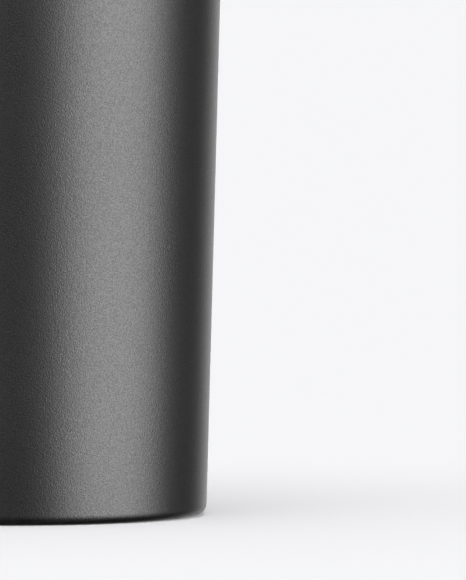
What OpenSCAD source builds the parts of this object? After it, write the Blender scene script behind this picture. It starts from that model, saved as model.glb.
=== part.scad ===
// A shaving cream tube that stands on its tall, tapered screw cap.
// +Z is up, the origin is the middle of the face that the cap stands on, and the seal runs along X.

/* [Tube] */
// Outside diameter of the sleeve
tube_d = 40; // [38:1:44]
// Length of the sleeve, with its flat end seal
sleeve_l = 125; // [110:1:140]
// Thickness of the sleeve's laminate
sleeve_t = 0.45; // [0.35:0.05:0.6]
// Height of the flat end seal
seal_h = 7; // [5:0.5:9]
// How far the full tube's flat faces bulge
bulge = 1.2; // [0:0.1:2]

/* [Cap] */
// Height of the cap
cap_h = 54; // [50:1:64]
// Angle between the cap's side and its axis, in degrees
cap_taper = 1.55; // [1:0.05:2]
// Thickness of the cap's side wall and end
cap_wall = 1.6; // [1.4:0.1:2]
// Radius of the edge that the cap stands on
cap_edge_r = 1; // [0.5:0.1:1.5]

/* [Neck] */
// Diameter over the neck's thread
thread_d = 17.9; // [17.5:0.1:18.1]
// Height that one turn of the two-start thread lifts the tube
thread_lead = 6; // [5.8:0.1:6.2]
// Length of the neck below the shoulder
neck_l = 11.7; // [11.5:0.1:12]
// Diameter of the hole that the cream comes out of
orifice_d = 6; // [5:0.5:7]

/* [Hidden] */
$fn = 96;

// Clearances
joint_gap = 0.4;     // between the cap's rim and the shoulder's rim
part_gap = 0.05;     // between pieces that are pressed or welded together
run_gap = 0.1;       // between pieces that turn on each other
cream_gap = 0.15;    // between the cream and what holds it
thread_gap = 0.35;   // between the neck's thread and the liner's bore
crest_gap = 0.3;     // between the liner's thread and the neck

// Cap
mouth_r = tube_d / 2;
mouth_wall = 1.3;
mouth_edge_r = 0.3;
mouth_chamfer = 0.2;
cap_slope = tan(cap_taper);
corner_r = 1.2;             // between the cap's side and its end, inside
seat_z = cap_h - 10;        // step that the liner sits on
seat_r = mouth_r - mouth_wall;
recess_r = 14;
recess_h = 0.5;
gate_r = 1.1;               // mark that the moulding leaves in the middle
gate_h = 0.4;
snap_z = seat_z + 4;        // groove that holds the liner
snap_half = 0.5;
snap_depth = 0.25;

// Shoulder and neck, which hang below the sleeve
rim_z = cap_h + joint_gap;
rim_h = 0.6;
rim_chamfer = 0.15;
cone_r = mouth_r - 0.8;     // where the shoulder's cone starts
ridge_h = 0.95;             // height of the thread
neck_r = thread_d / 2 - ridge_h;
neck_base_r = neck_r + 1.4;
cone_in_r = neck_base_r - 1;    // where the cone meets the bore, inside
neck_chamfer = 0.3;
cone_h = 3.8;
cone_slope = cone_h / (cone_r - neck_base_r);
neck_top_z = rim_z - cone_h;
neck_tip_z = neck_top_z - neck_l;
shoulder_t = 1.2;
neck_bore_r = neck_r - 1.7;
barrier_t = 0.35;
skirt_h = 3.5;
sleeve_in_r = mouth_r - sleeve_t;
skirt_r = sleeve_in_r - part_gap;
skirt_z = rim_z + rim_h + skirt_h;

// Nozzle insert
flange_t = 0.85;
flange_r = neck_r - 0.4;
plug_r = neck_bore_r - 0.08;
plug_l = 4.4;
plug_wall = 1.1;
bead_h = 0.22;              // bead that snaps into the neck's groove
orifice_r = orifice_d / 2;
insert_top_z = neck_tip_z - run_gap;
insert_tip_z = insert_top_z - flange_t;
groove_z = neck_tip_z + 2.6;
groove_half = 0.3;
groove_depth = 0.3;

// Liner and its wad
bore_r = thread_d / 2 + thread_gap;
liner_wall = 1.3;
liner_end_t = 1.2;
wad_t = 1.2;
wad_top_z = insert_tip_z - run_gap;
liner_floor_z = wad_top_z - wad_t;
liner_web_gap = 0.6;        // under the shoulder's cone
liner_web_t = 1;
ring_t = 1.1;
rib_count = 8;
rib_t = 0.9;

// Thread
starts = 2;
pitch = thread_lead / starts;
ridge_turns = 1.25;
ridge_step = 7.5;           // degrees
ridge_lead_in = 30;         // degrees over which a ridge rises to its full height
ridge_end = 0.08;           // share of the height that is left at a ridge's ends
half_root = 0.85;
male_half_crest = 0.45;
female_half_crest = 0.5;
male_start_z = neck_tip_z + 2.3;
female_start_z = male_start_z - pitch / 2;
ridge_sink = 0.2;           // how deep a ridge's foot is buried in its wall

// Sleeve
sleeve_z = rim_z + rim_h;
round_z = skirt_z + 0.6;    // the sleeve is round up to here
seal_z = sleeve_z + sleeve_l - seal_h;
top_z = sleeve_z + sleeve_l;
half_flat = PI / 2 * (mouth_r - sleeve_t / 2);   // half the width of the flattened sleeve
ring_points = 72;
sleeve_rings = 18;
sharpest = 0.11;            // least share of a quarter's points that its round end has

// Shapes ------------------------------------------------------------------

function arc(x, z, r, from, to, n = 8) =
    [for (i = [0:n]) let (a = from + (to - from) * i / n) [x + r * cos(a), z + r * sin(a)]];

function cap_r(z) = mouth_r - (cap_h - z) * cap_slope;

// Height of the shoulder's outer cone above the table at radius r
function cone_z(r) = rim_z - (cone_r - r) * cone_slope;

// A closed skin over rings of points, each ring with the same number of points
module skin(rings) {
    n = len(rings[0]);
    count = len(rings);
    points = [for (ring = rings) for (p = ring) p];
    sides = [
        for (k = [0:count - 2]) for (i = [0:n - 1])
            let (a = k * n + i, b = k * n + (i + 1) % n)
            each [[a, a + n, b + n], [a, b + n, b]]
    ];
    first = [[for (i = [0:n - 1]) i]];
    last = [[for (i = [n - 1:-1:0]) (count - 1) * n + i]];
    polyhedron(points = points, faces = concat(first, sides, last));
}

function circle_ring(r, z) =
    [for (i = [0:ring_points - 1]) let (a = 360 * i / ring_points) [r * cos(a), r * sin(a), z]];

// Cross-section of the sleeve where it has flattened by the share t.
// It is two flats joined by round ends, so its girth stays that of the round tube.
// The distance from the collapsed mid-plane is thick. Each quarter has the same number of points.
function flat_ring(t, thick, z) =
    let (c = t * half_flat, r = (1 - t) * sleeve_in_r + thick,
         arc_share = max(r / (r + c * 2 / PI), sharpest))
    [for (i = [0:ring_points - 1])
        let (u = abs(((i + ring_points / 2) % ring_points) / (ring_points / 2) - 1) * 2,
             v = u > 1 ? 2 - u : u,
             side = u > 1 ? -1 : 1,
             half = i > ring_points / 2 ? -1 : 1,
             a = min(90, 90 * v / arc_share),
             on_flat = arc_share < 1 ? min(1, (1 - v) / (1 - arc_share)) : 0,
             x = c * on_flat + r * cos(a),
             swell = bulge * sin(180 * t) * pow(cos(90 * x / (c + r)), 2))
        [side * x, half * (r * sin(a) + swell), z]];

// Share of the way from round to flat at height z
function flatness(z) = min(1, max(0, (z - round_z) / (seal_z - round_z)));

// One thread ridge that climbs anticlockwise, on a wall of radius root, up to radius crest
module ridge(root, crest, half_crest, start_z, start_angle) {
    out = crest > root ? 1 : -1;
    steps = round(ridge_turns * 360 / ridge_step);
    skin([
        for (i = [0:steps])
            let (turned = i * ridge_step,
                 to_end = min(turned, ridge_turns * 360 - turned),
                 full = min(1, ridge_end + to_end / ridge_lead_in),
                 a = start_angle + turned,
                 z = start_z + thread_lead * turned / 360,
                 foot = root - out * ridge_sink,
                 tip = root + (crest - root) * full,
                 half_tip = half_root + (half_crest - half_root) * full)
            [for (p = [[foot, half_root], [tip, half_tip], [tip, -half_tip], [foot, -half_root]])
                [p[0] * cos(a), p[0] * sin(a), z + out * p[1]]]
    ]);
}

module ridges(root, crest, half_crest, start_z) {
    for (k = [0:starts - 1])
        ridge(root, crest, half_crest, start_z, k * 360 / starts);
}

// Cap ---------------------------------------------------------------------

// Outer shell: a tapered cup that stands on its closed end
module cap_shell() {
    base_r = cap_r(cap_edge_r);
    inner_r = cap_r(cap_wall) - cap_wall;
    color([0.2, 0.2, 0.21])
    union() {
        rotate_extrude() polygon(concat(
            [[0, recess_h], [recess_r, recess_h], [recess_r + recess_h, 0]],
            arc(base_r - cap_edge_r, cap_edge_r, cap_edge_r, -90, 0),
            arc(mouth_r - mouth_edge_r, cap_h - mouth_edge_r, mouth_edge_r, 0, 90, 5),
            [
                [seat_r + mouth_chamfer, cap_h], [seat_r, cap_h - mouth_chamfer],
                [seat_r, snap_z + snap_half + snap_depth],
                [seat_r + snap_depth, snap_z + snap_half],
                [seat_r + snap_depth, snap_z - snap_half],
                [seat_r, snap_z - snap_half - snap_depth],
                [seat_r, seat_z],
                [cap_r(seat_z) - cap_wall, seat_z]
            ],
            arc(inner_r - corner_r, cap_wall + recess_h + corner_r, corner_r, 0, -90, 5),
            [[0, cap_wall + recess_h]]
        ));
        translate([0, 0, recess_h - gate_h / 2]) cylinder(r = gate_r, h = gate_h);
    }
}

// Liner: the threaded inside of the cap, snapped into the shell's mouth
module cap_liner() {
    ring_r = seat_r - part_gap;
    ring_in_r = ring_r - ring_t;
    tube_r = bore_r + liner_wall;
    end_chamfer = 0.8;
    funnel_r = bore_r + 0.5;
    funnel_h = 0.7;
    lip_half = snap_half - 0.15;
    lip_depth = snap_depth - part_gap;
    rib_sink = 0.3;      // how deep a rib runs into the walls
    web_top = function (r) cone_z(r) - liner_web_gap;
    color([0.16, 0.16, 0.17])
    union() {
        rotate_extrude() polygon([
            [0, liner_floor_z - liner_end_t],
            [tube_r - end_chamfer, liner_floor_z - liner_end_t],
            [tube_r, liner_floor_z - liner_end_t + end_chamfer],
            [tube_r, web_top(tube_r) - liner_web_t],
            [ring_in_r, web_top(ring_in_r) - liner_web_t],
            [ring_in_r, seat_z + part_gap],
            [ring_r, seat_z + part_gap],
            [ring_r, snap_z - lip_half - snap_depth],
            [ring_r + lip_depth, snap_z - lip_half],
            [ring_r + lip_depth, snap_z + lip_half],
            [ring_r, snap_z + lip_half + snap_depth],
            [ring_r, web_top(ring_r)],
            [funnel_r, web_top(funnel_r)],
            [bore_r, web_top(funnel_r) - funnel_h],
            [bore_r, liner_floor_z],
            [0, liner_floor_z]
        ]);
        for (k = [0:rib_count - 1])
            rotate([90, 0, 360 * k / rib_count])
                translate([0, 0, -rib_t / 2])
                    linear_extrude(rib_t) polygon([
                        [tube_r - rib_sink, liner_floor_z + 1],
                        [tube_r + 1, liner_floor_z + 1],
                        [ring_in_r + rib_sink, seat_z + 1],
                        [ring_in_r + rib_sink, web_top(ring_in_r) - liner_web_t / 2],
                        [tube_r - rib_sink, web_top(tube_r) - liner_web_t / 2]
                    ]);
        ridges(bore_r, neck_r + crest_gap, female_half_crest, female_start_z);
    }
}

// Foam disc in the liner's end that closes the nozzle
module seal_wad() {
    r = bore_r - part_gap;
    low_z = liner_floor_z + part_gap;
    chamfer = 0.2;
    color([0.93, 0.93, 0.9])
    rotate_extrude() polygon([
        [0, low_z], [r - chamfer, low_z], [r, low_z + chamfer],
        [r, wad_top_z - chamfer], [r - chamfer, wad_top_z], [0, wad_top_z]
    ]);
}

// Tube --------------------------------------------------------------------

// Reducer that snaps into the neck's bore and sets the size of the bead of cream
module nozzle_insert() {
    plug_top_z = insert_top_z + plug_l;
    plug_chamfer = 0.4;
    bead_r = plug_r + bead_h;
    bead_half = 0.1;
    bead_foot = bead_half + 0.25;
    flange_chamfer = 0.3;
    hole_chamfer = 0.35;
    color([0.95, 0.95, 0.93])
    rotate_extrude() polygon([
        [orifice_r + hole_chamfer, insert_tip_z], [flange_r - flange_chamfer, insert_tip_z],
        [flange_r, insert_tip_z + flange_chamfer], [flange_r, insert_top_z],
        [plug_r, insert_top_z], [plug_r, groove_z - bead_foot],
        [bead_r, groove_z - bead_half], [bead_r, groove_z + bead_half],
        [plug_r, groove_z + bead_foot], [plug_r, plug_top_z - plug_chamfer],
        [plug_r - plug_chamfer, plug_top_z], [plug_r - plug_wall, plug_top_z],
        [orifice_r + 0.5, insert_top_z + 1.2],
        [orifice_r, insert_top_z + 0.4], [orifice_r, insert_tip_z + hole_chamfer]
    ]);
}

// Moulded head of the tube: rim, skirt inside the sleeve, cone, and threaded neck
module tube_shoulder() {
    inside_r = skirt_r - shoulder_t;
    foot_r = inside_r - 0.6;     // where the skirt's inside meets the cone
    skirt_chamfer = 0.5;
    bore_chamfer = 0.2;
    groove_foot = groove_half + groove_depth;
    color([0.13, 0.13, 0.14])
    union() {
        rotate_extrude() polygon([
            [neck_bore_r, neck_tip_z + bore_chamfer], [neck_bore_r + bore_chamfer, neck_tip_z],
            [neck_r - neck_chamfer, neck_tip_z], [neck_r, neck_tip_z + neck_chamfer],
            [neck_r, neck_top_z - 1], [neck_r + 0.35, neck_top_z - 0.35],
            [neck_base_r, neck_top_z],
            [cone_r, rim_z], [mouth_r - rim_chamfer, rim_z], [mouth_r, rim_z + rim_chamfer],
            [mouth_r, rim_z + rim_h - part_gap], [skirt_r, rim_z + rim_h - part_gap],
            [skirt_r, skirt_z - skirt_chamfer], [skirt_r - skirt_chamfer, skirt_z],
            [inside_r, skirt_z], [inside_r, cone_z(inside_r) + shoulder_t + 0.6],
            [foot_r, cone_z(foot_r) + shoulder_t],
            [cone_in_r, cone_z(cone_in_r) + shoulder_t],
            [neck_bore_r, cone_z(neck_bore_r)],
            [neck_bore_r, groove_z + groove_foot],
            [neck_bore_r + groove_depth, groove_z + groove_half],
            [neck_bore_r + groove_depth, groove_z - groove_half],
            [neck_bore_r, groove_z - groove_foot]
        ]);
        ridges(neck_r, thread_d / 2, male_half_crest, male_start_z);
    }
}

// Thin barrier disc that lines the inside of the shoulder's cone
module barrier_insert() {
    outer = skirt_r - shoulder_t - 0.8;
    inner = cone_in_r + 0.1;
    lift = shoulder_t + part_gap;
    color([0.78, 0.79, 0.8])
    rotate_extrude() polygon([
        [inner, cone_z(inner) + lift], [outer, cone_z(outer) + lift],
        [outer, cone_z(outer) + lift + barrier_t], [inner, cone_z(inner) + lift + barrier_t]
    ]);
}

// Laminate sleeve: round at the shoulder, pressed flat and sealed at the top
module tube_sleeve() {
    last = 0.99;   // share flattened where the inside closes
    walls = [for (i = [0:sleeve_rings]) i / sleeve_rings];
    color([0.2, 0.2, 0.21])
    skin(concat(
        [for (i = [sleeve_rings:-1:0])
            let (t = last * walls[i])
            flat_ring(t, 0, round_z + t * (seal_z - round_z))],
        [circle_ring(sleeve_in_r, sleeve_z), circle_ring(mouth_r, sleeve_z)],
        [for (t = walls) flat_ring(t, sleeve_t, round_z + t * (seal_z - round_z))],
        [flat_ring(1, sleeve_t, top_z)]
    ));
}

// The cream, from the orifice up to the head of air under the seal
module shaving_cream() {
    hole_r = orifice_r - cream_gap;
    plug_in_r = plug_r - plug_wall - 0.4;
    neck_in_r = neck_bore_r - cream_gap;
    skirt_in_r = skirt_r - shoulder_t - cream_gap;
    foot_r = skirt_in_r - 0.6;
    lift = shoulder_t + part_gap + barrier_t + cream_gap;
    full = 0.9;    // share flattened where the cream ends
    color([0.97, 0.97, 0.96])
    skin(concat(
        [
            circle_ring(hole_r, insert_tip_z + 0.3),
            circle_ring(hole_r, insert_top_z + 0.6),
            circle_ring(plug_in_r, insert_top_z + plug_l + 0.3),
            circle_ring(neck_in_r, insert_top_z + plug_l + 0.6),
            circle_ring(neck_in_r, cone_z(cone_in_r) + lift),
            circle_ring(cone_in_r, cone_z(cone_in_r) + lift),
            circle_ring(foot_r, cone_z(foot_r) + lift),
            circle_ring(skirt_in_r, cone_z(skirt_in_r) + lift + 0.8),
            circle_ring(skirt_in_r, skirt_z + cream_gap)
        ],
        [for (i = [0:sleeve_rings])
            let (t = full * i / sleeve_rings)
            flat_ring(t, -cream_gap, round_z + t * (seal_z - round_z))]
    ));
}

cap_shell();
cap_liner();
seal_wad();
nozzle_insert();
tube_shoulder();
barrier_insert();
tube_sleeve();
shaving_cream();
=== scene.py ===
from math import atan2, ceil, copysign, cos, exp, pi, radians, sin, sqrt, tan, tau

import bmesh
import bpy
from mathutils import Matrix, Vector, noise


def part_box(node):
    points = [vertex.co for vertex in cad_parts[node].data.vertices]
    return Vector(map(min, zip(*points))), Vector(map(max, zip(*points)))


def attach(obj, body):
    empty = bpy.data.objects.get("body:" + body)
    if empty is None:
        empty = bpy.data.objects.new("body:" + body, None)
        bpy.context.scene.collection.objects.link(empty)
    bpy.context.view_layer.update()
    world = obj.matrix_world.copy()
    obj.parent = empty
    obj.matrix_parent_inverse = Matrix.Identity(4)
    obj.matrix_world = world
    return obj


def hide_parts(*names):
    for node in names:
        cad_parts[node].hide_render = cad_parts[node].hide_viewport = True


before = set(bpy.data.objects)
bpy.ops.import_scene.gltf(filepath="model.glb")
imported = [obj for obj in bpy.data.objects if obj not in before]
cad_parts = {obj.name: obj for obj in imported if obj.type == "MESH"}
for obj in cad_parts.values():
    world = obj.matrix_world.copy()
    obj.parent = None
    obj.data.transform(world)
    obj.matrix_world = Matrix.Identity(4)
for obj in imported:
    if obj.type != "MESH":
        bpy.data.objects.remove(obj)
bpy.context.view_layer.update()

# A shaving cream tube that stands on its tall, tapered screw cap, in a pale studio.
# Lengths are in millimetres, and are scaled to metres where meshes are made, unless a comment
# says metres.

MM = 0.001
SEGMENTS = 256          # round a turned piece
ARC_STEPS = 8           # in a quarter turn of a rounded corner
SHARP = radians(75)     # edges sharper than this stay crisp


def node_box(node):
    """Lowest and highest corner of a CAD node."""
    low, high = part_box(node)
    return low / MM, high / MM


# ---------------------------------------------------------------- sizes

_, cap_high = node_box("cap_shell")
liner_low, liner_high = node_box("cap_liner")
wad_low, wad_high = node_box("seal_wad")
insert_low, insert_high = node_box("nozzle_insert")
head_low, head_high = node_box("tube_shoulder")
sleeve_low, sleeve_high = node_box("tube_sleeve")

# Cap
CAP_TAPER = radians(1.55)
CAP_EDGE = 1            # radius of the edge that the cap stands on
CAP_WALL = 1.6
RECESS_R = 14           # recess inside the ring that the cap stands on
RECESS_H = 0.5
cap_h = cap_high.z
mouth_r = cap_high.x
seat_z = cap_h - 10     # step that the liner sits on
seat_r = mouth_r - 1.3
snap_z = seat_z + 4     # bead that holds the liner in the shell

# Shoulder, neck and nozzle
RIM_H = 0.6
SHOULDER_T = 1.2
CONE_H = 3.8
HOLE_R = 3              # hole in the nozzle insert
BARRIER_T = 0.4         # disc inside the cone
rim_z = sleeve_low.z - RIM_H
cone_r = mouth_r - 0.8
neck_r = 8
thread_r = 8.95
bore_in_neck_r = neck_r - 1.7
neck_base_r = neck_r + 1.4
neck_tip_z = head_low.z
neck_top_z = rim_z - CONE_H
groove_z = neck_tip_z + 2.6     # groove in the neck for the insert's bead
cone_slope = CONE_H / (cone_r - neck_base_r)

# Thread, two starts, right-handed
LEAD = 6                # rise in one turn
STARTS = 2
RIDGE_TURNS = 1.25
HALF_ROOT = 0.85        # half the width of a ridge at its foot
MALE_HALF_CREST = 0.45  # and at its crest
FEMALE_HALF_CREST = 0.5
FEMALE_CREST_R = 8.3
RUN_IN = radians(35)    # turn over which a ridge rises to its full height
THREAD_ROW = 0.1        # height of one row of faces
liner_bore_r = 9.3
male_start_z = neck_tip_z + 2.3
female_start_z = male_start_z - LEAD / STARTS / 2

# Sleeve
SLEEVE_T = 0.45
SEAL_H = 7              # height of the crimped end
BULGE = 1.2             # how far the filling pushes out the middle of the faces
SKIRT_GAP = 0.05        # between the shoulder's skirt and the sleeve
AROUND = 480            # points round the sleeve
top_z = sleeve_high.z
seal_z = top_z - SEAL_H
skirt_z = head_high.z
round_z = skirt_z + 0.6     # the sleeve is round up to here
sleeve_in_r = mouth_r - SLEEVE_T
skirt_r = sleeve_in_r - SKIRT_GAP
half_flat = sleeve_high.x - SLEEVE_T


def cone_z(r):
    """Height of the shoulder's outer cone at radius r."""
    return rim_z - (cone_r - r) * cone_slope


# ---------------------------------------------------------------- mesh tools

def clamp(value, low=0.0, high=1.0):
    """The value, held between low and high."""
    return max(low, min(high, value))


def smooth(value, start=0.0, end=1.0):
    """0 before start, 1 after end, and an S-curve between them."""
    share = clamp((value - start) / (end - start))
    return share * share * (3 - 2 * share)


def steps(start, end, size):
    """Evenly spaced values from start to end, no further apart than size."""
    count = max(1, ceil(abs(end - start) / size))
    return [start + (end - start) * i / count for i in range(count + 1)]


def rounded(corners, closed=False):
    """Points along a chain of (radius from the axis, height, corner radius)."""
    points = []
    count = len(corners)
    nearly_straight = 0.01
    longest_share = 0.49        # of a side that one corner's curve may take
    for i, (x, z, radius) in enumerate(corners):
        at_end = not closed and i in (0, count - 1)
        if radius == 0 or at_end:
            points.append((x, z))
            continue
        here = Vector((x, z))
        before = Vector(corners[i - 1][:2]) - here
        after = Vector(corners[(i + 1) % count][:2]) - here
        half = before.angle(after) / 2
        if pi / 2 - half < nearly_straight:
            points.append((x, z))
            continue
        reach = min(radius / tan(half), before.length * longest_share, after.length * longest_share)
        radius = reach * tan(half)
        middle = (before.normalized() + after.normalized()).normalized()
        centre = here + middle * (radius / sin(half))
        first = before.normalized() * reach + here - centre
        last = after.normalized() * reach + here - centre
        start = atan2(first.y, first.x)
        sweep = (atan2(last.y, last.x) - start + pi) % tau - pi
        for k in steps(0, sweep, pi / 2 / ARC_STEPS):
            points.append((centre.x + radius * cos(start + k), centre.y + radius * sin(start + k)))
    return points


def lathe(mesh, profile, swell=None, segments=SEGMENTS):
    """A solid of revolution. The profile starts and ends on the axis, or is a loop clear of it."""
    rows = []
    for r, z in profile:
        if r == 0:
            rows.append([mesh.verts.new((0, 0, z * MM))])
            continue
        row = []
        for i in range(segments):
            a = tau * i / segments
            at = r + (swell(a, r, z) if swell else 0)
            row.append(mesh.verts.new((at * cos(a) * MM, at * sin(a) * MM, z * MM)))
        rows.append(row)
    pairs = list(zip(rows, rows[1:]))
    if profile[0][0] != 0:
        pairs.append((rows[-1], rows[0]))
    for lower, upper in pairs:
        for i in range(segments):
            j = (i + 1) % segments
            loop = (lower[i % len(lower)], lower[j % len(lower)],
                    upper[j % len(upper)], upper[i % len(upper)])
            mesh.faces.new(dict.fromkeys(loop))


def skin(mesh, rings):
    """A closed skin over rings of the same number of points, with a strip of faces across each end."""
    rows = [[mesh.verts.new([c * MM for c in point]) for point in ring] for ring in rings]
    count = len(rows[0])
    for lower, upper in zip(rows, rows[1:]):
        for i in range(count):
            j = (i + 1) % count
            mesh.faces.new((lower[i], lower[j], upper[j], upper[i]))
    for row in (rows[0], rows[-1]):
        for i in range(count // 2):
            loop = (row[i], row[i + 1], row[count - i - 1], row[-i])
            mesh.faces.new(dict.fromkeys(loop))
    return rows


def piece(name, mesh, body, node, slot, *materials):
    """Turns a bmesh into a piece that rides on a body and stands for a CAD node."""
    bmesh.ops.recalc_face_normals(mesh, faces=mesh.faces)
    data = bpy.data.meshes.new(name)
    mesh.to_mesh(data)
    mesh.free()
    data.shade_smooth()
    data.set_sharp_from_angle(angle=SHARP)
    for material in materials:
        data.materials.append(material)
    made = bpy.data.objects.new(name, data)
    bpy.context.collection.objects.link(made)
    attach(made, body)
    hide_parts(node)
    return made


def ridge_height(angle, z, start_z, half_crest):
    """Height of the thread at an angle and a height, as a share of its full height."""
    tallest = 0
    for k in range(STARTS):
        turned = (angle - tau * k / STARTS) % tau
        while turned <= RIDGE_TURNS * tau:
            off = abs(z - start_z - LEAD * turned / tau)
            if off < HALF_ROOT:
                flank = smooth((HALF_ROOT - off) / (HALF_ROOT - half_crest))
                to_end = min(turned, RIDGE_TURNS * tau - turned)
                tallest = max(tallest, flank * smooth(to_end / RUN_IN))
            turned += tau
    return tallest


# ---------------------------------------------------------------- shading tools

def add(tree, kind, inputs=(), **settings):
    """Adds a node, with its settings, and its inputs as values or links."""
    node = tree.nodes.new(kind)
    for key, value in settings.items():
        setattr(node, key, value)
    for key, value in dict(inputs).items():
        if isinstance(value, bpy.types.NodeSocket):
            tree.links.new(value, node.inputs[key])
        else:
            node.inputs[key].default_value = value
    return node


def material(name, **values):
    """A new material and its main shader, with plain values set on the shader's own sockets."""
    made = bpy.data.materials.new(name)
    made.use_nodes = True
    shader = made.node_tree.nodes["Principled BSDF"]
    for key, value in values.items():
        shader.inputs[key.replace("_", " ")].default_value = value
    return made, made.node_tree, shader


def place(tree):
    """The point's place on the object."""
    return add(tree, "ShaderNodeTexCoord").outputs["Object"]


def grain(tree, size, detail=2.0, roughness=0.5, stretch=None):
    """Noise whose features are about this size."""
    at = place(tree)
    if stretch:
        at = add(tree, "ShaderNodeMapping", {"Vector": at, "Scale": stretch}).outputs[0]
    inputs = {"Vector": at, "Scale": 1 / (size * MM), "Detail": detail, "Roughness": roughness}
    return add(tree, "ShaderNodeTexNoise", inputs).outputs[0]


def spread(tree, value, low, high, start=0.0, end=1.0):
    """Maps a value from start..end to low..high."""
    inputs = {"Value": value, "From Min": start, "From Max": end, "To Min": low, "To Max": high}
    return add(tree, "ShaderNodeMapRange", inputs).outputs[0]


def sums(tree, operation, first, second):
    """The result of a sum, such as ADD or MULTIPLY, on two values."""
    return add(tree, "ShaderNodeMath", {0: first, 1: second}, operation=operation).outputs[0]


def tint(tree, share, dark, light):
    """A colour between two, by a share from 0 to 1."""
    node = add(tree, "ShaderNodeValToRGB", {"Fac": share})
    node.color_ramp.elements[0].color = (*dark, 1)
    node.color_ramp.elements[1].color = (*light, 1)
    return node.outputs[0]


def bump(tree, height, depth, strength=1.0, below=None):
    """Relief this deep. Another relief can lie below it."""
    inputs = {"Height": height, "Distance": depth * MM, "Strength": strength}
    if below:
        inputs["Normal"] = below
    return add(tree, "ShaderNodeBump", inputs).outputs[0]


def connect(tree, shader, **sockets):
    """Links node outputs to the shader's sockets."""
    for key, value in sockets.items():
        tree.links.new(value, shader.inputs[key.replace("_", " ")])


# ---------------------------------------------------------------- materials

NOISE_RANGE = (0.3, 0.7)        # where most values of a noise texture lie
FINE = 0.12                     # size of the finest grain
GRAPHITE_DARK = (0.10, 0.10, 0.10)


def graphite_cap():
    """Satin graphite metallic plastic with a fine even grain, a little scuffed where the cap stands."""
    scuffed_h = 1.1 * MM
    made, tree, shader = material("graphite_cap", Metallic=1.0)
    fine = grain(tree, FINE, 0)
    broad = grain(tree, 9, 2)
    height = add(tree, "ShaderNodeSeparateXYZ", {0: place(tree)}).outputs["Z"]
    low_edge = spread(tree, height, 1, 0, 0.0, scuffed_h)
    scuffs = spread(tree, grain(tree, 0.9, 4, 0.7), 0, 1, 0.52, 0.66)
    wear = sums(tree, "MULTIPLY", low_edge, scuffs)
    specks = spread(tree, fine, -0.24, 0.24, *NOISE_RANGE)
    mottle = sums(tree, "ADD", specks, spread(tree, broad, -0.06, 0.06))
    share = sums(tree, "ADD", sums(tree, "ADD", mottle, 0.44), sums(tree, "MULTIPLY", wear, 0.2))
    colour = tint(tree, share, GRAPHITE_DARK, (0.22, 0.22, 0.22))
    satin = spread(tree, fine, 0.35, 0.31, *NOISE_RANGE)
    rough = sums(tree, "ADD", satin, sums(tree, "MULTIPLY", wear, 0.15))
    normal = bump(tree, grain(tree, 0.13, 0), 0.015)
    connect(tree, shader, Base_Color=colour, Roughness=rough, Normal=normal)
    return made


def graphite_sleeve():
    """Printed laminate in the cap's graphite, smoother, with faint ripples and a clear satin varnish."""
    made, tree, shader = material(
        "graphite_sleeve", Metallic=1.0, Coat_Weight=0.12, Coat_Roughness=0.22)
    fine = grain(tree, FINE, 1)
    broad = grain(tree, 16, 3)
    ripple = grain(tree, 4.5, 2)
    specks = spread(tree, fine, 0.2, 0.7, *NOISE_RANGE)
    share = sums(tree, "ADD", specks, spread(tree, broad, -0.1, 0.1))
    colour = tint(tree, share, GRAPHITE_DARK, (0.20, 0.20, 0.20))
    satin = spread(tree, fine, 0.24, 0.34, *NOISE_RANGE)
    rough = sums(tree, "ADD", satin, spread(tree, broad, -0.03, 0.03))
    waves = bump(tree, ripple, 0.012)
    normal = bump(tree, fine, 0.004, below=waves)
    connect(tree, shader, Base_Color=colour, Roughness=rough, Normal=normal)
    return made


def cut_laminate():
    """The sleeve's cut edge, where the laminate's pale core shows between two dark skins."""
    core, skin_from = 0.24 * MM, 0.32 * MM      # distance from the middle of the edge
    made, tree, shader = material("cut_laminate", IOR=1.5, Roughness=0.6)
    across = add(tree, "ShaderNodeSeparateXYZ", {0: place(tree)}).outputs["Y"]
    from_middle = add(tree, "ShaderNodeMath", {0: across}, operation="ABSOLUTE").outputs[0]
    skins = spread(tree, from_middle, 0, 1, core, skin_from)
    fibres = sums(tree, "ADD", skins, spread(tree, grain(tree, 0.15, 3), -0.2, 0.2))
    colour = tint(tree, fibres, (0.32, 0.32, 0.31), (0.02, 0.02, 0.02))
    normal = bump(tree, grain(tree, FINE, 2), 0.02)
    connect(tree, shader, Base_Color=colour, Normal=normal)
    return made


def black_moulding():
    """Black polypropylene as it leaves the mould, with faint flow marks."""
    made, tree, shader = material("black_moulding", IOR=1.49)
    fine = grain(tree, FINE, 2)
    flow = grain(tree, 2.5, 3, 0.6, stretch=(1, 1, 0.35))
    colour = tint(tree, flow, (0.010, 0.010, 0.011), (0.022, 0.022, 0.023))
    rough = spread(tree, flow, 0.26, 0.4)
    normal = bump(tree, fine, 0.004)
    connect(tree, shader, Base_Color=colour, Roughness=rough, Normal=normal)
    return made


def natural_plastic():
    """Undyed soft polyethylene, milky and waxy."""
    made, tree, shader = material(
        "natural_plastic", IOR=1.51, Subsurface_Weight=0.35, Subsurface_Scale=1.2 * MM)
    shader.inputs["Subsurface Radius"].default_value = (1.0, 0.9, 0.75)
    fine = grain(tree, 0.1, 2)
    cloudy = grain(tree, 1.8, 3)
    colour = tint(tree, cloudy, (0.72, 0.73, 0.71), (0.84, 0.845, 0.83))
    rough = spread(tree, cloudy, 0.28, 0.4)
    normal = bump(tree, fine, 0.004)
    connect(tree, shader, Base_Color=colour, Roughness=rough, Normal=normal)
    return made


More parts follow.
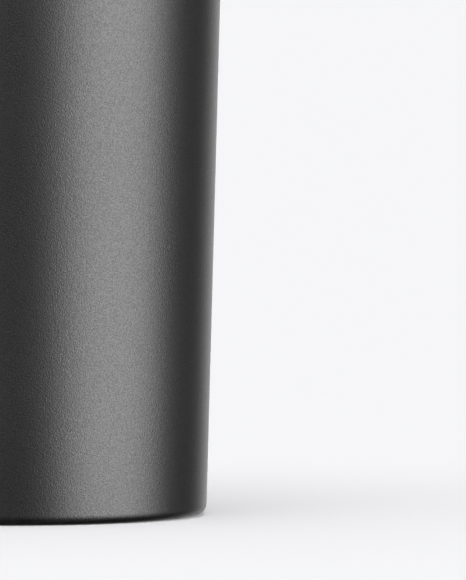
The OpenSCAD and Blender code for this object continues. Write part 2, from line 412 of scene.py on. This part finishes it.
def wad_foam():
    """Closed-cell foam with a matt skin."""
    made, tree, shader = material("wad_foam", IOR=1.45)
    inputs = {"Vector": place(tree), "Scale": 1 / (0.28 * MM)}
    cells = add(tree, "ShaderNodeTexVoronoi", inputs).outputs["Distance"]
    mottled = grain(tree, 1.2, 3)
    colour = tint(tree, mottled, (0.74, 0.74, 0.70), (0.84, 0.84, 0.81))
    rough = spread(tree, cells, 0.6, 0.75)
    normal = bump(tree, cells, 0.03)
    connect(tree, shader, Base_Color=colour, Roughness=rough, Normal=normal)
    return made


def barrier_film():
    """Silvery laminate of the disc inside the shoulder."""
    made, tree, shader = material("barrier_film", Metallic=0.7)
    brushed = grain(tree, 0.3, 3, 0.6, stretch=(1, 0.1, 1))
    colour = tint(tree, brushed, (0.52, 0.53, 0.54), (0.68, 0.69, 0.7))
    rough = spread(tree, brushed, 0.25, 0.4)
    normal = bump(tree, grain(tree, 1.5, 2), 0.03)
    connect(tree, shader, Base_Color=colour, Roughness=rough, Normal=normal)
    return made


def shaving_cream_white():
    """Dense white cream with a soft shine and a few fine pores."""
    made, tree, shader = material(
        "shaving_cream_white", IOR=1.38, Subsurface_Weight=0.5, Subsurface_Scale=0.8 * MM)
    shader.inputs["Subsurface Radius"].default_value = (1.0, 0.95, 0.85)
    soft = grain(tree, 0.9, 4, 0.55)
    inputs = {"Vector": place(tree), "Scale": 1 / (0.6 * MM)}
    pores = add(tree, "ShaderNodeTexVoronoi", inputs).outputs["Distance"]
    pits = spread(tree, pores, 0, 1, 0.02, 0.16)
    colour = tint(tree, soft, (0.86, 0.86, 0.84), (0.93, 0.93, 0.92))
    rough = spread(tree, soft, 0.32, 0.5)
    normal = bump(tree, pits, 0.03, below=bump(tree, soft, 0.08))
    connect(tree, shader, Base_Color=colour, Roughness=rough, Normal=normal)
    return made


def pale_floor():
    """Seamless pale studio floor, matt, with a faint even glow."""
    made, tree, shader = material("pale_floor", Roughness=0.9, Emission_Strength=FLOOR_GLOW)
    shader.inputs["Emission Color"].default_value = FLOOR_GLOW_COLOUR
    shader.inputs["Specular IOR Level"].default_value = 0.0
    tone = grain(tree, 600, 2)
    colour = tint(tree, tone, FLOOR_COLOUR, FLOOR_COLOUR)
    connect(tree, shader, Base_Color=colour)
    return made


# ---------------------------------------------------------------- cap

def cap_outer():
    """Tapered outer shell, with the ring that it stands on and the recess and gate mark inside that."""
    def cap_r(z):
        return mouth_r - (cap_h - z) * tan(CAP_TAPER)

    snap_half, snap_depth = 0.5, 0.25
    gate_z = RECESS_H - 0.18        # end of the stub that the mould's gate leaves
    dip_z = RECESS_H + 0.12      # bottom of the groove round it
    corners = [
        (0, gate_z, 0), (0.75, gate_z, 0.12), (0.9, RECESS_H, 0.12),
        (1.6, RECESS_H, 0.1), (1.8, dip_z, 0.1), (2.3, dip_z, 0.1),
        (2.5, RECESS_H, 0.1), (RECESS_R, RECESS_H, 0.3), (RECESS_R + RECESS_H, 0, 0.3),
        (cap_r(0), 0, CAP_EDGE),
        *[(cap_r(z), z, 0) for z in (12, 24, 36)],      # keeps the wall's faces short
        (mouth_r, cap_h, 0.3),
        (seat_r, cap_h, 0.2),
        (seat_r, snap_z + snap_half + snap_depth, 0.1),
        (seat_r + snap_depth, snap_z + snap_half, 0.1),
        (seat_r + snap_depth, snap_z - snap_half, 0.1),
        (seat_r, snap_z - snap_half - snap_depth, 0.1),
        (seat_r, seat_z, 0.15), (cap_r(seat_z) - CAP_WALL, seat_z, 0.15),
        (cap_r(0) - CAP_WALL, CAP_WALL + RECESS_H, 1.2),
        (0, CAP_WALL + RECESS_H, 0),
    ]
    mesh = bmesh.new()
    lathe(mesh, rounded(corners))
    return piece("cap_outer", mesh, "cap", "cap_shell", "cap_plastic", graphite_cap())


def liner_swell(a, r, z):
    """The liner's thread, which stands in from its bore."""
    in_bore = abs(r - liner_bore_r) < 0.001
    if not in_bore:
        return 0
    return -(liner_bore_r - FEMALE_CREST_R) * ridge_height(a, z, female_start_z, FEMALE_HALF_CREST)


def liner_rib(mesh, angle, outline, thickness):
    """A flat rib under the liner's web, standing out from the axis at an angle."""
    along = Vector((cos(angle), sin(angle), 0))
    across = Vector((-sin(angle), cos(angle), 0)) * thickness / 2
    sides = []
    for side in (-1, 1):
        points = [along * r + across * side + Vector((0, 0, z)) for r, z in outline]
        sides.append([mesh.verts.new(p * MM) for p in points])
    count = len(outline)
    for row in sides:
        mesh.faces.new(row)
    for i in range(count):
        j = (i + 1) % count
        mesh.faces.new((sides[0][i], sides[0][j], sides[1][j], sides[1][i]))


def cap_inner():
    """Threaded liner that is snapped into the shell's mouth."""
    part_gap, wall, web_t, web_gap, ring_t = 0.05, 1.3, 1.0, 0.6, 1.1
    bead, bead_half, bead_flat = 0.2, 0.6, 0.35
    mouth_chamfer = 0.5
    plain_h = 0.3           # of the bore, below its thread
    ribs, rib_t, rib_sunk = 8, 0.9, 0.3
    ring_r = liner_high.x - bead
    ring_in_r = ring_r - ring_t
    tube_r = liner_bore_r + wall
    end_z = liner_low.z
    floor_z = wad_low.z - part_gap

    def web_top(r):
        return cone_z(r) - web_gap

    chamfer_r = liner_bore_r + mouth_chamfer
    bore_top_z = web_top(chamfer_r) - 0.7
    corners = [
        (0, end_z, 0), (tube_r, end_z, 0.8),
        (tube_r, web_top(tube_r) - web_t, 0.4),
        (ring_in_r, web_top(ring_in_r) - web_t, 0.4),
        (ring_in_r, seat_z + part_gap, 0.2), (ring_r, seat_z + part_gap, 0.2),
        (ring_r, snap_z - bead_half, 0.1), (ring_r + bead, snap_z - bead_flat, 0.1),
        (ring_r + bead, snap_z + bead_flat, 0.1), (ring_r, snap_z + bead_half, 0.1),
        (ring_r, web_top(ring_r), 0.25), (chamfer_r, web_top(chamfer_r), 0.2),
    ]
    profile = rounded([*corners, (liner_bore_r, bore_top_z, 0)])[:-1]
    profile += [(liner_bore_r, z) for z in steps(bore_top_z, floor_z + plain_h, THREAD_ROW)]
    profile += rounded([
        (liner_bore_r, floor_z + plain_h, 0), (liner_bore_r, floor_z, 0.2), (0, floor_z, 0),
    ])[1:]
    mesh = bmesh.new()
    lathe(mesh, profile, swell=liner_swell)
    from_r, to_r = tube_r - rib_sunk, ring_in_r + rib_sunk
    outline = [
        (from_r, floor_z + 1), (tube_r + 1, floor_z + 1), (to_r, seat_z + 1),
        (to_r, web_top(ring_in_r) - web_t / 2), (from_r, web_top(tube_r) - web_t / 2),
    ]
    for k in range(ribs):
        liner_rib(mesh, tau * k / ribs, outline, rib_t)
    return piece("cap_inner", mesh, "cap", "cap_liner", "liner_plastic", BLACK)


def foam_disc():
    """Foam disc with the ring that the nozzle has pressed into it."""
    r = wad_high.x
    low, high = wad_low.z, wad_high.z
    print_half, print_flat, print_depth = 1.5, 1.1, 0.12
    print_r = insert_high.x - print_half
    corners = [
        (0, low, 0), (r, low, 0.2), (r, high, 0.2),
        (print_r + print_half, high, 0.2), (print_r + print_flat, high - print_depth, 0.2),
        (print_r - print_flat, high - print_depth, 0.2), (print_r - print_half, high, 0.2),
        (0, high - 0.04, 0),
    ]
    mesh = bmesh.new()
    lathe(mesh, rounded(corners))
    return piece("foam_disc", mesh, "cap", "seal_wad", "wad_foam", wad_foam())


# ---------------------------------------------------------------- tube

def nozzle_reducer():
    """Snap-in reducer: flange, plug with its bead, and the hole for the cream."""
    tip_z = insert_low.z
    dish_z = tip_z + 0.12           # face between the rings round the hole and the edge
    flange_z = tip_z + 0.85
    plug_top_z = insert_high.z
    flange_r = insert_high.x
    plug_r = bore_in_neck_r - 0.08
    bead_r, bead_half, bead_flat = plug_r + 0.22, 0.35, 0.1
    corners = [
        (HOLE_R, tip_z, 0.45), (HOLE_R + 1.2, tip_z, 0.1), (HOLE_R + 1.4, dish_z, 0.1),
        (flange_r - 1, dish_z, 0.1), (flange_r - 0.8, tip_z, 0.1), (flange_r, tip_z, 0.3),
        (flange_r, flange_z, 0.12), (plug_r, flange_z, 0.1),
        (plug_r, groove_z - bead_half, 0.1), (bead_r, groove_z - bead_flat, 0.1),
        (bead_r, groove_z + bead_flat, 0.1), (plug_r, groove_z + bead_half, 0.1),
        (plug_r, plug_top_z, 0.4), (plug_r - 1.1, plug_top_z, 0.15),
        (HOLE_R + 0.5, flange_z + 1.2, 0.6), (HOLE_R, flange_z + 0.5, 0.5),
    ]
    mesh = bmesh.new()
    lathe(mesh, rounded(corners, closed=True), segments=192)
    return piece(
        "nozzle_reducer", mesh, "nozzle", "nozzle_insert", "insert_plastic", natural_plastic())


def head_swell(a, r, z):
    """The neck's thread, which stands out from its wall."""
    on_neck = abs(r - neck_r) < 0.001 and z > neck_tip_z + 0.5
    if not on_neck:
        return 0
    return (thread_r - neck_r) * ridge_height(a, z, male_start_z, MALE_HALF_CREST)


def tube_head():
    """Moulded rim, skirt, cone and threaded neck."""
    plain_z = neck_tip_z + 0.6      # the neck is plain below this
    neck_end_z = neck_top_z - 1
    inside_r = skirt_r - SHOULDER_T
    neck_in_r = neck_base_r - 1
    rim_top_z = rim_z + RIM_H - SKIRT_GAP
    groove_r, groove_half, groove_flat = bore_in_neck_r + 0.3, 0.6, 0.3
    start = (bore_in_neck_r, groove_z - groove_half, 0)
    tip = [(bore_in_neck_r, neck_tip_z, 0.2), (neck_r, neck_tip_z, 0.3), (neck_r, plain_z, 0)]
    profile = rounded([start, *tip])
    profile += [(neck_r, z) for z in steps(plain_z, neck_end_z, THREAD_ROW)][1:]
    profile += rounded([
        (neck_r, neck_end_z, 0), (neck_r, neck_top_z, 1.2), (cone_r, rim_z, 0.5),
        (mouth_r, rim_z, 0.15), (mouth_r, rim_top_z, 0.05),
        (skirt_r, rim_top_z, 0.05), (skirt_r, skirt_z, 0.5),
        (inside_r, skirt_z, 0.2), (inside_r, cone_z(inside_r) + SHOULDER_T, 0.8),
        (neck_in_r, cone_z(neck_in_r) + SHOULDER_T, 0.6),
        (bore_in_neck_r, cone_z(bore_in_neck_r), 0.5),
        (bore_in_neck_r, groove_z + groove_half, 0.1), (groove_r, groove_z + groove_flat, 0.1),
        (groove_r, groove_z - groove_flat, 0.1), start,
    ])[1:-1]
    mesh = bmesh.new()
    lathe(mesh, profile, swell=head_swell)
    return piece("tube_head", mesh, "tube", "tube_shoulder", "shoulder_plastic", BLACK)


def flatness(z):
    """Share of the way from round to flat, with a soft start above the shoulder."""
    soft = 0.1
    s = clamp((z - round_z) / (seal_z - round_z))
    eased = s * s / (2 * soft) if s < soft else s - soft / 2
    return eased / (1 - soft / 2)


def sleeve_ring(t, thick, z, trim=0.0):
    """Cross-section of the sleeve where it has flattened by the share t: two flats, two arcs."""
    least_share = 0.04          # of the points that go to the arcs
    c = t * half_flat
    r = (1 - t) * sleeve_in_r + thick
    arc_share = max(r / (r + c * 2 / pi), least_share)
    ring = []
    for i in range(AROUND):
        # u is 0 at the +X side edge and 2 at the other, v is 0 at both and 1 halfway over a face
        u = abs(((i + AROUND // 2) % AROUND) / (AROUND / 2) - 1) * 2
        v = 2 - u if u > 1 else u
        side = -1 if u > 1 else 1
        half = -1 if i > AROUND / 2 else 1
        a = min(pi / 2, pi / 2 * v / arc_share)
        x = c * min(1, (1 - v) / max(1 - arc_share, 0.001)) + r * cos(a)
        swell = BULGE * sin(pi * t) * cos(pi / 2 * x / (c + r)) ** 2
        ring.append((side * x * (1 - trim), half * (r * sin(a) + swell), z))
    return ring


def corner_trim(z):
    """Share of the width that the seal's rounded top corners take away."""
    corner = 1.5                # radius
    up = z - (top_z - corner)
    if up <= 0:
        return 0
    return (corner - sqrt(max(0, corner ** 2 - up ** 2))) / (half_flat + SLEEVE_T)


# Shallow dents that filling and handling leave in the sleeve: which face (-1 front, 1 back),
# the two ends of the dent as x and height above the seal's lower edge, its depth and its width
DENTS = [
    (-1, 22, -1, 15, -26, 0.40, 3.2),
    (-1, -23, -1, -17, -21, 0.34, 2.8),
    (-1, 9, 0, 7, -13, 0.16, 2.2),
    (-1, -6, 0, -8, -11, 0.14, 2.4),
    (-1, -12, -60, -4, -72, 0.22, 6.0),
    (1, 21, -1, 16, -22, 0.36, 3.0),
    (1, -24, -1, -16, -29, 0.42, 3.3),
    (1, 12, -45, 4, -58, 0.25, 6.5),
]


def dent_depth(x, y, z):
    """How far the dents push the sleeve in at a point."""
    face = -1 if y < 0 else 1
    depth = 0
    for side, x0, z0, x1, z1, deep, wide in DENTS:
        if side != face:
            continue
        start = Vector((x0, seal_z + z0))
        line = Vector((x1, seal_z + z1)) - start
        along = clamp((Vector((x, z)) - start).dot(line) / line.length_squared)
        off = (Vector((x, z)) - start - line * along).length
        fade = smooth(1 - along) if z0 > -5 else 1
        depth += deep * fade * exp(-(off / wide) ** 2)
    return depth


def wall_shift(x, y, z):
    """How far the sleeve's wall stands out or in at a point, by its waviness and its dents."""
    soft = smooth(z, round_z, round_z + 12) * (1 - smooth(z, seal_z - 3, seal_z))
    broad = 0.10 * noise.noise(Vector((x, y * 1.5, z)) / 21)
    small = 0.03 * noise.noise(Vector((x, y, z)) / 8)
    return (broad + small) * soft - dent_depth(x, y, z) * smooth(seal_z + 1 - z, 0, 2)


def sleeve_detail(x, y, z):
    """Relief on the sleeve's outside: crimp ribs, the lapped seam at the back, dents and waviness."""
    rib_pitch, rib_depth = 1.3, 0.08
    face = -1 if y < 0 else 1
    in_seal = smooth(z, seal_z + 0.2, seal_z + 0.8) * (1 - smooth(z, top_z - 1.1, top_z - 0.7))
    ribs = -face * rib_depth * cos(tau * x / rib_pitch) * in_seal
    lap_half, lap_step = 1.1, 0.09
    lap = lap_step * smooth(x, -lap_half, -lap_half + 0.5) * (1 - smooth(x, lap_half, 6))
    lap = lap if y > 0 else 0
    return ribs + lap * smooth(seal_z - z, 0, 3) + wall_shift(x, y, z)


def inside_shift(x, y, z):
    """How far the inside of the wall moves with it, less where front and back nearly meet."""
    most_share = 0.6            # of the way to the middle
    return max(wall_shift(x, y, z), -most_share * abs(y))


def sleeve():
    """Laminate sleeve, welded round the shoulder's skirt and crimped flat at the top."""
    closes = 0.985                      # share flattened where the inside meets
    low_bevel, top_bevel = 0.08, 0.07   # how far the cut edges' corners are taken in
    trimmed_z, edge_z = top_z - 1.5, top_z - 0.06
    inner_top = round_z + (seal_z - round_z) * closes
    inner_rows = reversed(steps(sleeve_low.z, inner_top, 2))
    outer_rows = [
        *steps(sleeve_low.z + low_bevel, seal_z, 1.0),
        *steps(seal_z, trimmed_z, 0.3)[1:],
        *steps(trimmed_z, edge_z, 0.18)[1:],
    ]
    rings = [sleeve_ring(min(closes, flatness(z)), 0, z) for z in inner_rows]
    rings.append(sleeve_ring(0, SLEEVE_T - low_bevel, sleeve_low.z))
    rings += [sleeve_ring(flatness(z), SLEEVE_T, z, corner_trim(z)) for z in outer_rows]
    rings.append(sleeve_ring(1, SLEEVE_T - top_bevel, top_z, corner_trim(edge_z)))
    mesh = bmesh.new()
    rows = skin(mesh, rings)
    mesh.normal_update()
    bmesh.ops.recalc_face_normals(mesh, faces=mesh.faces)
    outside = [v for row in rows[-len(outer_rows):] for v in row]
    inside = [v for row in rows[:-len(outer_rows) - 1] for v in row]
    moves = [(v, v.normal * sleeve_detail(*(v.co / MM)) * MM) for v in outside]
    moves += [(v, -v.normal * inside_shift(*(v.co / MM)) * MM) for v in inside]
    for v, move in moves:
        v.co += move
    made = piece(
        "sleeve", mesh, "tube", "tube_sleeve", "sleeve_laminate", graphite_sleeve(), cut_laminate())
    for face in made.data.polygons:
        faces_up = face.normal.z > 0.9
        if faces_up:
            face.material_index = 1
    return made


def cream_fill():
    """The cream in the sleeve, the neck and the hole, where it ends in a low dome with a swirl."""
    gap = 0.15                  # to the walls that hold the cream
    full = 0.9                  # share of the sleeve's height that is filled
    tip_z = insert_low.z
    hole_r = HOLE_R - gap
    plug_in_r = bore_in_neck_r - 1.6
    neck_in_r = bore_in_neck_r - gap
    cone_in_r = neck_base_r - 1
    skirt_in_r = skirt_r - SHOULDER_T - gap
    skirt_low_r = skirt_in_r - 0.6
    lift = SHOULDER_T + BARRIER_T + gap

    def disc(r, z):
        swirl_h, swirl_turn = 0.07, 2.1
        share = r / hole_r
        points = []
        for i in range(AROUND):
            a = tau * i / AROUND
            swirl = 4 * swirl_h * sin(a + r * swirl_turn) * share * (1 - share) if share < 1 else 0
            points.append((r * cos(a), r * sin(a), z + swirl))
        return points

    dome_rings, dome_z, dome_h = 14, tip_z + 0.12, 0.55
    dome_shares = [k / dome_rings for k in range(1, dome_rings + 1)]
    dome = [(hole_r * share, dome_z + dome_h * share ** 2.4) for share in dome_shares]
    inside = [
        (hole_r, tip_z + 1.3), (plug_in_r, insert_high.z + 0.3), (neck_in_r, insert_high.z + 0.6),
        (neck_in_r, cone_z(cone_in_r) + lift), (cone_in_r, cone_z(cone_in_r) + lift),
        (skirt_low_r, cone_z(skirt_low_r) + lift), (skirt_in_r, cone_z(skirt_in_r) + lift + 0.8),
        (skirt_in_r, skirt_z + gap),
    ]
    rings = [disc(r, z) for r, z in dome + inside]
    for z in steps(round_z, round_z + (seal_z - round_z) * full, 2):
        ring = sleeve_ring(flatness(z), -gap, z)
        rings.append([(x, y + copysign(1, y) * inside_shift(x, y, z), z) for x, y, z in ring])
    mesh = bmesh.new()
    skin(mesh, rings)
    return piece("cream_fill", mesh, "tube", "shaving_cream", "cream", shaving_cream_white())


# ---------------------------------------------------------------- studio

BACKDROP = (0.922, 0.922, 0.9386, 1)
FLOOR_COLOUR = (0.34, 0.34, 0.347)
FLOOR_GLOW = 0.341          # brightness that the floor keeps even in shadow
FLOOR_GLOW_COLOUR = (1, 1, 1.02, 1)
FLOOR_REACH = 40            # metres
SOFT_LIGHT = 26.9           # strength of the light from above, mostly from the camera's side
SOFT_LIGHT_BACK = 0.3       # share of it that comes from behind the object
SOFT_LIGHT_FRONT = -0.4     # Y of the directions from which all of it comes
BASE_LIGHT = 0.096          # gloss reflects this much from all round
OVERHEAD = 1.7              # and this much from above
# Tall softboxes round the object: direction in degrees from the camera's side, towards +X,
# strength, half-width and softness in degrees
SOFTBOXES = [
    (62.1, 1.95, 20, 21),
    (-62.1, 1.95, 20, 21),
    (180, 0.83, 15, 27),
]
PANELS_BELOW = 0.05         # share of the panels' light that the ground gives back from well below
# Heights on a sphere of directions, from -1 straight below to 1 straight above
SOFT_LIGHT_FROM = 0.85
PANELS_FADE, PANELS_END = 0.6, 0.85
GROUND_FADE, GROUND_END = -0.15, -0.7
CEILING_FROM, CEILING_FULL = 0.22, 0.75

CAMERA_AWAY = 1.0           # metres from the aim
CAMERA_UP = radians(2.38)
VIEW_HEIGHT = 55.25 * MM    # that the picture shows at the aim
CAMERA_AIM = Vector((21.08, 0, 21.37)) * MM
SENSOR = 36                 # width in millimetres, as Blender's cameras take it


def s_curve(tree, value, start, end, height=1.0):
    """0 where the value is before start, the full height after end, and an S-curve between them."""
    inputs = {"Value": value, "From Min": start, "From Max": end, "To Max": height}
    return add(tree, "ShaderNodeMapRange", inputs, interpolation_type="SMOOTHSTEP").outputs[0]


def soft_light(tree, parts):
    """Light that falls on matt surfaces, and so shapes the shadow on the floor."""
    from_above = s_curve(tree, parts.outputs["Z"], SOFT_LIGHT_FROM, 1, SOFT_LIGHT)
    from_front = s_curve(tree, parts.outputs["Y"], 0, SOFT_LIGHT_FRONT, 1 - SOFT_LIGHT_BACK)
    return sums(tree, "MULTIPLY", from_above, sums(tree, "ADD", from_front, SOFT_LIGHT_BACK))


def reflected_light(tree, parts):
    """Light that gloss reflects: a bright ceiling, an even base and tall soft panels, which the
    ground gives back ever more weakly below the horizon."""
    height = parts.outputs["Z"]
    flat = add(tree, "ShaderNodeCombineXYZ", {"X": parts.outputs["X"], "Y": parts.outputs["Y"]})
    level = add(tree, "ShaderNodeVectorMath", {0: flat.outputs[0]}, operation="NORMALIZE").outputs[0]
    below_ceiling = s_curve(tree, height, PANELS_END, PANELS_FADE)
    total = BASE_LIGHT
    for azimuth, strength, half, soft in SOFTBOXES:
        towards = (sin(radians(azimuth)), -cos(radians(azimuth)), 0)
        near = add(tree, "ShaderNodeVectorMath", {0: level, 1: towards}, operation="DOT_PRODUCT")
        edge, full = cos(radians(half + soft)), cos(radians(max(0, half - soft)))
        panel = s_curve(tree, near.outputs["Value"], edge, full, strength)
        total = sums(tree, "ADD", sums(tree, "MULTIPLY", panel, below_ceiling), total)
    given_back = spread(tree, height, PANELS_BELOW, 1, GROUND_END, GROUND_FADE)
    ceiling = s_curve(tree, height, CEILING_FROM, CEILING_FULL, OVERHEAD)
    return sums(tree, "ADD", sums(tree, "MULTIPLY", total, given_back), ceiling)


def world_light():
    """Studio light from all round. The camera sees a plain pale backdrop instead of the lights."""
    world = bpy.data.worlds.new("studio")
    bpy.context.scene.world = world
    world.use_nodes = True
    # Sampled as a lamp, the world would give glossy surfaces' light to matt ones
    world.cycles.sampling_method = "NONE"
    tree = world.node_tree
    tree.nodes.clear()
    way = add(tree, "ShaderNodeTexCoord").outputs["Generated"]
    parts = add(tree, "ShaderNodeSeparateXYZ", {0: way})
    path = add(tree, "ShaderNodeLightPath")

    def background(colour, strength):
        return add(tree, "ShaderNodeBackground", {"Color": colour, "Strength": strength}).outputs[0]

    def choose(ray, otherwise, where):
        inputs = {0: path.outputs[ray], 1: otherwise, 2: where}
        return add(tree, "ShaderNodeMixShader", inputs).outputs[0]

    white = (1, 1, 1, 1)
    reflected = background(white, reflected_light(tree, parts))
    soft = background(white, soft_light(tree, parts))
    light = choose("Is Diffuse Ray", reflected, soft)
    shown = choose("Is Camera Ray", light, background(BACKDROP, 1))
    add(tree, "ShaderNodeOutputWorld", {"Surface": shown})


def floor():
    """A wide round floor at the height that the cap stands on, left out of reflections."""
    mesh = bmesh.new()
    bmesh.ops.create_circle(mesh, cap_ends=True, segments=128, radius=FLOOR_REACH)
    data = bpy.data.meshes.new("floor")
    mesh.to_mesh(data)
    mesh.free()
    data.materials.append(pale_floor())
    made = bpy.data.objects.new("floor", data)
    made.visible_glossy = False
    bpy.context.collection.objects.link(made)


def camera():
    """A long lens a metre away, a little above the floor, on the right half of the cap."""
    data = bpy.data.cameras.new("camera")
    data.sensor_width = SENSOR
    data.lens = data.sensor_width * CAMERA_AWAY / VIEW_HEIGHT
    data.clip_start, data.clip_end = 0.05, 200
    made = bpy.data.objects.new("camera", data)
    back = Vector((0, -cos(CAMERA_UP), sin(CAMERA_UP)))
    made.location = CAMERA_AIM + back * CAMERA_AWAY
    made.rotation_mode = "QUATERNION"
    made.rotation_quaternion = (-back).to_track_quat("-Z", "Y")
    bpy.context.collection.objects.link(made)
    bpy.context.scene.camera = made


# ---------------------------------------------------------------- the scene

bpy.context.scene.view_settings.view_transform = "Standard"
camera()
world_light()
floor()

BLACK = black_moulding()
cap_outer()
cap_inner()
foam_disc()
nozzle_reducer()
tube_head()
sleeve()
cream_fill()
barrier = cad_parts["barrier_insert"]
barrier.data.materials.clear()
barrier.data.materials.append(barrier_film())
